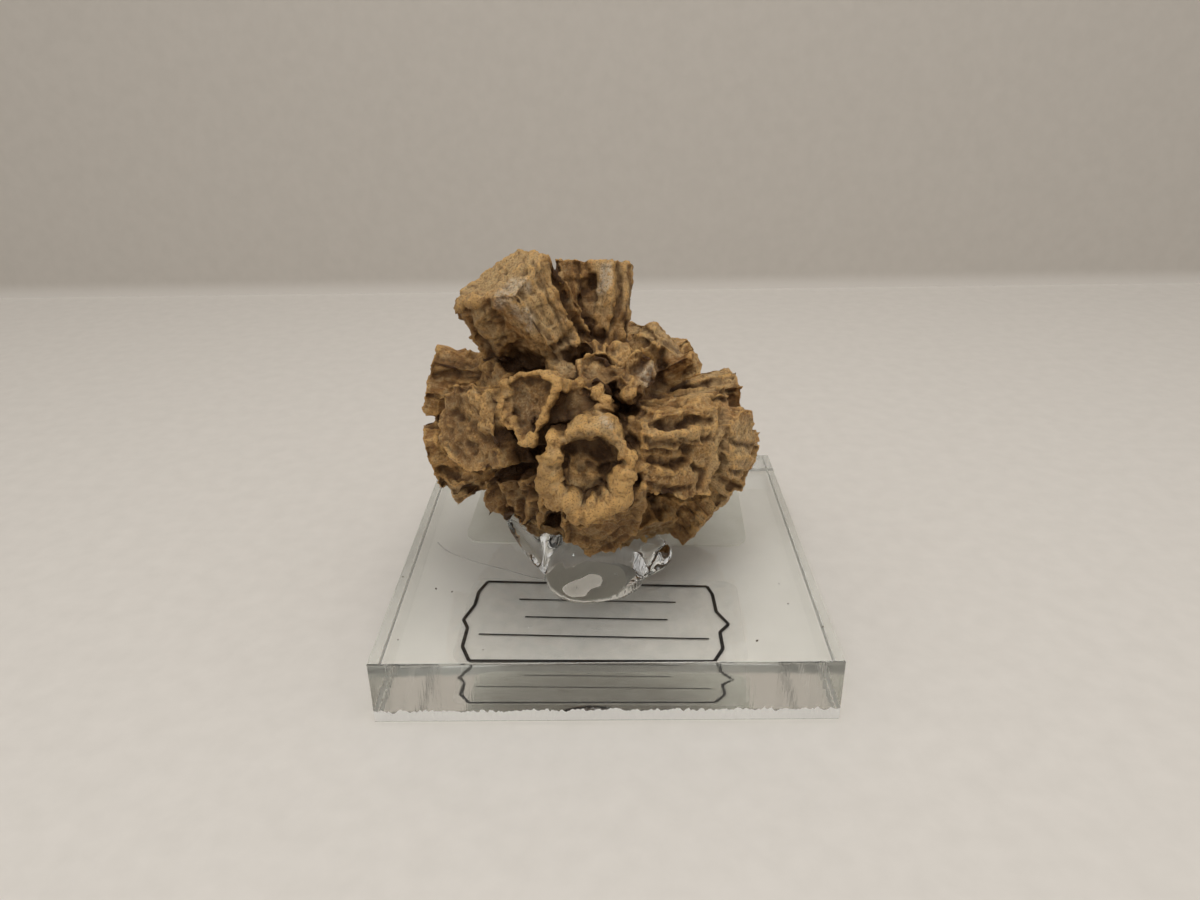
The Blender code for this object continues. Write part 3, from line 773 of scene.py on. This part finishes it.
def plain_material(name, colour, roughness):
    n = Nodes(name)
    n.shader.inputs["Roughness"].default_value = roughness
    mottled = n.mix(n.ramp(n.noise(3.0, 3.0), 0.3, 0.7, 0.0, 0.08), colour, (0.3, 0.28, 0.24, 1.0))
    n.join(mottled, n.shader.inputs["Base Color"])
    return n.material


# The clear base

OVAL_POINTS = 48
FOOT_MIDDLE = (-2.1, -9.8)
FOOT_HALF = (4.7, 4.7)

# The glue's levels, from where it stands on the base to where it holds a crystal: height, middle, half widths
SADDLE = [
    (BASE_TOP, FOOT_MIDDLE[0], FOOT_MIDDLE[1], FOOT_HALF[0], FOOT_HALF[1]),
    (8.6, -2.0, -9.7, 5.2, 4.6),
    (9.3, -1.5, -9.6, 6.1, 4.6),
    (10.2, -0.7, -9.5, 7.2, 4.6),
    (11.0, 0.2, -9.4, 8.2, 4.5),
    (11.8, 0.1, -9.2, 8.2, 4.2),
    (13.0, -0.7, -8.8, 7.5, 3.8),
    (14.2, -0.8, -8.4, 6.5, 3.0),
]
LOBE = [
    (9.2, -6.6, -9.6, 0.9, 1.4),
    (11.5, -8.2, -9.6, 1.2, 1.6),
    (14.5, -9.9, -9.7, 1.1, 1.4),
    (17.0, -11.5, -9.8, 0.5, 0.8),
]
GLUE_VOXEL = 0.3
GLUE_COLOUR = (0.98, 0.98, 0.97, 1.0)
GLUE_ABSORBED = (0.9, 0.9, 0.86, 1.0)
GLUE_IOR = 1.48


def oval(height, x, y, half_width, half_depth):
    points = []
    for k in range(OVAL_POINTS):
        angle = 2 * math.pi * k / OVAL_POINTS
        points.append((x + half_width * math.cos(angle), y + half_depth * math.sin(angle), height))
    return points


def loft(bm, levels):
    """Adds a closed body through ovals to a bmesh."""
    rings = [[bm.verts.new(spot) for spot in oval(*level)] for level in levels]
    for lower, upper in zip(rings, rings[1:]):
        for k in range(OVAL_POINTS):
            bm.faces.new((lower[k - 1], lower[k], upper[k], upper[k - 1]))
    bm.faces.new(rings[0])
    bm.faces.new(rings[-1])


def make_glue():
    bm = bmesh.new()
    loft(bm, SADDLE)
    loft(bm, LOBE)
    bmesh.ops.recalc_face_normals(bm, faces=bm.faces)
    bmesh.ops.transform(bm, matrix=Matrix.Scale(MM, 4), verts=bm.verts)
    mesh = bpy.data.meshes.new("glue_form")
    bm.to_mesh(mesh)
    bm.free()
    skin = Skin(remeshed("glue_form", mesh, GLUE_VOXEL))
    skin.points = skin.blur(skin.points, 12)
    skin.push(0.3 * grain(skin.points, 2.4, 11, 1))
    # The foot is flat on the base
    foot = (skin.points[:, 2] < BASE_TOP + 1.2) & (skin.normals()[:, 2] < -0.4)
    skin.points[foot, 2] = BASE_TOP
    skin.points[:, 2] = np.maximum(skin.points[:, 2], BASE_TOP)
    skin.store()
    mesh = skin.mesh
    mesh.materials.clear()
    mesh.materials.append(clear_material("glue", GLUE_COLOUR, 0.02, GLUE_IOR, GLUE_ABSORBED, 3.0))
    mesh.materials.append(contact_material())
    for face in mesh.polygons:
        if all(mesh.vertices[k].co.z < (BASE_TOP + 0.01) * MM for k in face.vertices):
            face.material_index = 1
    mesh.shade_smooth()
    item = new_object("glue", mesh)
    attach(item, "root")
    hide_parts("mounting_glue")


def ragged_strip(bm):
    """Makes the upper border of the saw strip uneven on each side of the base."""
    borders = []
    for edge in bm.edges:
        level = all(abs(vert.co.z - SAW_STRIP) < 0.001 for vert in edge.verts)
        if level and edge.calc_length() > BASE_HALF:
            borders.append(edge)
    made = bmesh.ops.subdivide_edges(bm, edges=borders, cuts=STRIP_TEETH)
    for item in made["geom_inner"]:
        if isinstance(item, bmesh.types.BMVert):
            rise = noise.noise(item.co * 2.3) + 0.5 * noise.noise(item.co * 7.1)
            item.co.z += STRIP_RISE * rise


CHAMFER = 0.12
ACRYLIC_IOR = 1.49
ACRYLIC_ABSORBED = (0.84, 0.86, 0.82, 1.0)
ACRYLIC_DENSITY = 4.0
TOP_COLOUR = (0.91, 0.915, 0.905, 1.0)
EDGE_COLOUR = (0.98, 0.98, 0.96, 1.0)
STRIP_COLOUR = (0.99, 0.98, 0.95, 1.0)


def make_base():
    bm = bmesh.new()
    bmesh.ops.create_cube(bm, size=1.0)
    height = BASE_TOP - BASE_BOTTOM
    bmesh.ops.scale(bm, vec=(2 * BASE_HALF, 2 * BASE_HALF, height), verts=bm.verts)
    bmesh.ops.translate(bm, vec=(0, 0, BASE_BOTTOM + height / 2), verts=bm.verts)
    bmesh.ops.bevel(bm, geom=bm.edges[:], offset=CHAMFER, segments=2, profile=0.5, affect="EDGES")
    top = max(bm.faces, key=lambda face: face.calc_center_median().z)
    rim = list(top.edges)
    bm.faces.remove(top)
    foot = [bm.verts.new(spot) for spot in oval(BASE_TOP, *FOOT_MIDDLE, *FOOT_HALF)]
    loop = [bm.edges.new((foot[k - 1], foot[k])) for k in range(OVAL_POINTS)]
    bmesh.ops.triangle_fill(bm, edges=rim + loop, use_beauty=True)
    patch = bm.faces.new(foot)
    bmesh.ops.bisect_plane(bm, geom=bm.verts[:] + bm.edges[:] + bm.faces[:], plane_co=(0, 0, SAW_STRIP),
                           plane_no=(0, 0, 1), dist=0.0001)
    ragged_strip(bm)
    bmesh.ops.recalc_face_normals(bm, faces=bm.faces)
    patch.material_index = 1
    for face in bm.faces:
        if abs(face.normal.z) < 0.1:
            face.material_index = 3 if face.calc_center_bounds().z < SAW_STRIP else 2
    bmesh.ops.transform(bm, matrix=Matrix.Scale(MM, 4), verts=bm.verts)
    mesh = bpy.data.meshes.new("clear_square")
    bm.to_mesh(mesh)
    bm.free()
    item = new_object("clear_square", mesh)
    clear = (ACRYLIC_IOR, ACRYLIC_ABSORBED, ACRYLIC_DENSITY)
    mesh.materials.append(clear_material("acrylic", TOP_COLOUR, 0.01, *clear))
    mesh.materials.append(contact_material())
    mesh.materials.append(clear_material("acrylic_edge", EDGE_COLOUR, 0.05, *clear, streaks=0.02))
    sawn = clear_material("acrylic_saw_strip", STRIP_COLOUR, 0.3, *clear, clear=0.2, streaks=0.1)
    mesh.materials.append(sawn)
    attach(item, "root")
    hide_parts("acrylic_base")


# The labels under the base, and what lies on it

LABEL_TURN = math.radians(-2.0)
LABEL_MIDDLE = (-0.5, -12.6)
LABEL_HALF = (16.8, 8.4)
LABEL_CORNER = 2.0
CORNER_POINTS = 8
BORDER = [(-15.2, -4.4), (12.8, -5.9), (13.3, -7.6), (13.4, -11.2), (14.6, -13.7), (13.4, -15.2),
          (13.4, -18.2), (12.2, -20.4), (-15.5, -20.0), (-16.6, -17.5), (-16.5, -14.0), (-17.2, -12.4),
          (-16.2, -9.4), (-16.1, -6.7), (-15.2, -4.4)]
BORDER_WIDTH = 0.42
RULED = [[(-10.8, -8.3), (8.6, -9.2)], [(-9.8, -11.9), (7.4, -12.7)], [(-15.0, -15.2), (12.0, -16.4)]]
RULED_WIDTH = 0.22
FILM_BOTTOM = 0.02
INK_TOP = 0.2
INK_BOTTOM = 0.17


def add_slab(bm, outline, bottom, top, material):
    """Adds a flat closed body with the given outline to a bmesh."""
    lower = [bm.verts.new((x, y, bottom)) for x, y in outline]
    upper = [bm.verts.new((x, y, top)) for x, y in outline]
    faces = [bm.faces.new(lower[::-1]), bm.faces.new(upper)]
    for k in range(len(outline)):
        faces.append(bm.faces.new((lower[k - 1], lower[k], upper[k], upper[k - 1])))
    for face in faces:
        face.material_index = material


def ribbon(line, width):
    """The outline of a printed line through several points."""
    left = []
    right = []
    line = [Vector(spot) for spot in line]
    for k, spot in enumerate(line):
        before = line[k - 1] if k else spot
        after = line[k + 1] if k < len(line) - 1 else spot
        across = (after - before).normalized().orthogonal() * width / 2
        left.append(tuple(spot + across))
        right.append(tuple(spot - across))
    return left + right[::-1]


def label_outline():
    """The label's outline, with rounded corners."""
    outline = []
    for quarter, (x, y) in enumerate(((1, 1), (-1, 1), (-1, -1), (1, -1))):
        for step in range(CORNER_POINTS + 1):
            angle = math.pi / 2 * (quarter + step / CORNER_POINTS)
            spot = Vector((x * (LABEL_HALF[0] - LABEL_CORNER) + LABEL_CORNER * math.cos(angle),
                           y * (LABEL_HALF[1] - LABEL_CORNER) + LABEL_CORNER * math.sin(angle)))
            outline.append(tuple(Matrix.Rotation(LABEL_TURN, 2) @ spot + Vector(LABEL_MIDDLE)))
    return outline


def make_print_label():
    bm = bmesh.new()
    add_slab(bm, label_outline(), FILM_BOTTOM, LABEL_TOP - 0.005, 0)
    for start, end in zip(BORDER, BORDER[1:]):
        add_slab(bm, ribbon([start, end], BORDER_WIDTH), INK_BOTTOM, INK_TOP, 1)
    for line in RULED:
        add_slab(bm, ribbon(line, RULED_WIDTH), INK_BOTTOM, INK_TOP, 1)
    bmesh.ops.recalc_face_normals(bm, faces=bm.faces)
    bmesh.ops.transform(bm, matrix=Matrix.Scale(MM, 4), verts=bm.verts)
    mesh = bpy.data.meshes.new("print_film")
    bm.to_mesh(mesh)
    bm.free()
    mesh.materials.append(film_material())
    mesh.materials.append(ink_material())
    item = new_object("print_film", mesh)
    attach(item, "root")
    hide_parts("print_label")


def film_material():
    """Clear film with a faint haze."""
    n = Nodes("film")
    hazy = n.ramp(n.noise(2.0, 3.0), 0.3, 0.7, 0.05, 0.12)
    n.join(hazy, n.shader.inputs["Alpha"])
    n.shader.inputs["Base Color"].default_value = (0.80, 0.775, 0.73, 1.0)
    n.shader.inputs["Roughness"].default_value = 0.4
    n.shader.inputs["Specular IOR Level"].default_value = 0.1
    return n.material


def ink_material():
    n = Nodes("ink")
    worn = n.mix(n.ramp(n.noise(0.5, 3.0, 0.6), 0.5, 0.75, 0.0, 0.35), (0.012, 0.011, 0.012, 1.0),
                 (0.12, 0.12, 0.12, 1.0))
    n.join(worn, n.shader.inputs["Base Color"])
    n.shader.inputs["Roughness"].default_value = 0.6
    return n.material


def paper_material():
    n = Nodes("paper")
    fibres = n.noise(0.4, 4.0, 0.7)
    colour = n.mix(n.ramp(n.noise(4.0, 3.0), 0.3, 0.7), (0.80, 0.78, 0.71, 1.0), (0.74, 0.72, 0.64, 1.0))
    colour = n.mix(n.ramp(fibres, 0.35, 0.7, 0.0, 0.25), colour, (0.66, 0.63, 0.55, 1.0))
    n.join(colour, n.shader.inputs["Base Color"])
    n.shader.inputs["Roughness"].default_value = 0.7
    n.join(n.bump(fibres, 0.02), n.shader.inputs["Normal"])
    return n.material


THREAD = [(-7.6, -9.4), (-8.9, -9.0), (-10.8, -8.0), (-12.9, -6.9), (-16.0, -5.6), (-19.4, -3.5),
          (-20.8, -2.4), (-22.0, -0.5)]
THREAD_RADIUS = 0.07
THREAD_COLOUR = (0.75, 0.74, 0.72, 1.0)
THREAD_ABSORBED = (0.5, 0.5, 0.5, 1.0)
# PIXEL places of the dust
SPECKS = [(483, 650), (452, 592), (436, 589), (788, 604), (823, 627), (779, 584), (403, 577), (757, 641),
          (398, 640)]
SPECK_RADIUS = 0.11


def make_thread():
    """A fine thread that the glue left on the base."""
    curve = bpy.data.curves.new("thread", "CURVE")
    curve.dimensions = "3D"
    curve.bevel_depth = THREAD_RADIUS * MM
    curve.bevel_resolution = 2
    curve.use_fill_caps = True
    spline = curve.splines.new("NURBS")
    spline.points.add(len(THREAD) - 1)
    spline.use_endpoint_u = True
    for point, (x, y) in zip(spline.points, THREAD):
        point.co = (x * MM, y * MM, (BASE_TOP + THREAD_RADIUS) * MM, 1.0)
    item = new_object("thread_curve", curve)
    mesh = evaluated_mesh(item)
    mesh.materials.clear()
    mesh.materials.append(clear_material("glue_thread", THREAD_COLOUR, 0.1, GLUE_IOR, THREAD_ABSORBED, 20.0))
    mesh.shade_smooth()
    item = new_object("glue_thread", mesh)
    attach(item, "root")


def dust_material():
    n = Nodes("dust")
    mottled = n.mix(n.ramp(n.noise(0.1), 0.3, 0.7), (0.12, 0.075, 0.04, 1.0), (0.04, 0.035, 0.03, 1.0))
    n.join(mottled, n.shader.inputs["Base Color"])
    n.shader.inputs["Roughness"].default_value = 0.9
    return n.material


def make_specks():
    """Dust on the base."""
    bm = bmesh.new()
    for k, spot in enumerate(SPECKS):
        x, y, z = on_level(spot, BASE_TOP)
        size = SPECK_RADIUS * (0.7 + 0.6 * ((k * 7) % 5) / 4)
        placed = Matrix.Translation((x, y, z + size * 0.4)) @ Matrix.Rotation(k, 4, "Z")
        squashed = placed @ Matrix.Diagonal((size * 1.4, size * 0.8, size * 0.5, 1.0))
        bmesh.ops.create_icosphere(bm, subdivisions=2, radius=1.0, matrix=squashed)
    bmesh.ops.transform(bm, matrix=Matrix.Scale(MM, 4), verts=bm.verts)
    mesh = bpy.data.meshes.new("specks")
    bm.to_mesh(mesh)
    bm.free()
    mesh.materials.append(dust_material())
    mesh.shade_smooth()
    item = new_object("specks", mesh)
    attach(item, "root")


# The stage

SOFT_EDGE = 5.0
FLOOR_COLOUR = (0.74, 0.705, 0.66, 1.0)
BACKDROP_COLOUR = (0.59, 0.55, 0.50, 1.0)
FLOOR_HALF = 1500.0
BACKDROP_PLACE = 155.0
BACKDROP_HEIGHT = 400.0
ROOM_COLOUR = (1.0, 0.97, 0.93, 1.0)
ROOM_SIDES = 0.38
ROOM_ABOVE = 0.84
KEY_PLACE = (25, -30, 275)
KEY_SIZE = 160
KEY_POWER = 0.18
KEY_COLOUR = (1.0, 0.98, 0.95)
WINDOW_PLACE = (-60, -150, 210)
WINDOW_SIZE = 50
WINDOW_COLOUR = (0.95, 0.98, 1.0)
WINDOW_POWER = 0.06


def make_sheet(name, colour, corners):
    """A flat sheet of the stage."""
    mesh = bpy.data.meshes.new(name)
    mesh.from_pydata([Vector(corner) * MM for corner in corners], [], [(0, 1, 2, 3)])
    mesh.materials.append(plain_material(name, colour, 0.9))
    item = new_object(name, mesh)
    return item


def make_stage():
    half = FLOOR_HALF
    level = [(-half, -half, 0), (half, -half, 0), (half, half, 0), (-half, half, 0)]
    foot = [(-half, BACKDROP_PLACE, 0), (half, BACKDROP_PLACE, 0)]
    head = [(half, BACKDROP_PLACE, BACKDROP_HEIGHT), (-half, BACKDROP_PLACE, BACKDROP_HEIGHT)]
    make_sheet("floor", FLOOR_COLOUR, level)
    backdrop = make_sheet("backdrop", BACKDROP_COLOUR, foot + head)
    soften_foot(backdrop.data.materials[0])


def soften_foot(material):
    """Blends the backdrop into the floor at its foot."""
    tree = material.node_tree
    shader = tree.nodes["Principled BSDF"]
    upper = shader.inputs["Base Color"].links[0].from_socket
    place = tree.nodes.new("ShaderNodeTexCoord")
    parts = tree.nodes.new("ShaderNodeSeparateXYZ")
    tree.links.new(place.outputs["Object"], parts.inputs[0])
    ramp = tree.nodes.new("ShaderNodeMapRange")
    ramp.interpolation_type = "SMOOTHSTEP"
    ramp.inputs["From Max"].default_value = SOFT_EDGE * MM
    tree.links.new(parts.outputs["Z"], ramp.inputs["Value"])
    blend = tree.nodes.new("ShaderNodeMix")
    blend.data_type = "RGBA"
    tree.links.new(ramp.outputs["Result"], blend.inputs["Factor"])
    blend.inputs[6].default_value = FLOOR_COLOUR
    tree.links.new(upper, blend.inputs[7])
    tree.links.new(blend.outputs[2], shader.inputs["Base Color"])


def make_lamp(name, place, size, power, colour):
    lamp = bpy.data.lights.new(name, "AREA")
    lamp.shape = "DISK"
    lamp.size = size * MM
    lamp.energy = power
    lamp.color = colour
    item = bpy.data.objects.new(name, lamp)
    item.location = Vector(place) * MM
    item.rotation_euler = (Vector((0, 0, 20)) - Vector(place)).to_track_quat("-Z", "Y").to_euler()
    bpy.context.scene.collection.objects.link(item)


def make_light():
    world = bpy.data.worlds.new("room")
    world.use_nodes = True
    tree = world.node_tree
    tree.nodes["Background"].inputs["Color"].default_value = ROOM_COLOUR
    # The room is brighter above than at the sides
    parts = tree.nodes.new("ShaderNodeSeparateXYZ")
    tree.links.new(tree.nodes.new("ShaderNodeTexCoord").outputs["Generated"], parts.inputs[0])
    ramp = tree.nodes.new("ShaderNodeMapRange")
    ramp.inputs["To Min"].default_value = ROOM_SIDES
    ramp.inputs["To Max"].default_value = ROOM_ABOVE
    tree.links.new(parts.outputs["Z"], ramp.inputs["Value"])
    tree.links.new(ramp.outputs["Result"], tree.nodes["Background"].inputs["Strength"])
    bpy.context.scene.world = world
    make_lamp("key", KEY_PLACE, KEY_SIZE, KEY_POWER, KEY_COLOUR)
    make_lamp("window", WINDOW_PLACE, WINDOW_SIZE, WINDOW_POWER, WINDOW_COLOUR)
    bpy.context.scene.view_settings.view_transform = "Standard"


make_camera()
make_stage()
make_light()
make_base()
make_glue()
make_print_label()
make_thread()
make_specks()
make_rosette()

plain_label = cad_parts["plain_label"]
plain_label.data.materials.clear()
plain_label.data.materials.append(paper_material())
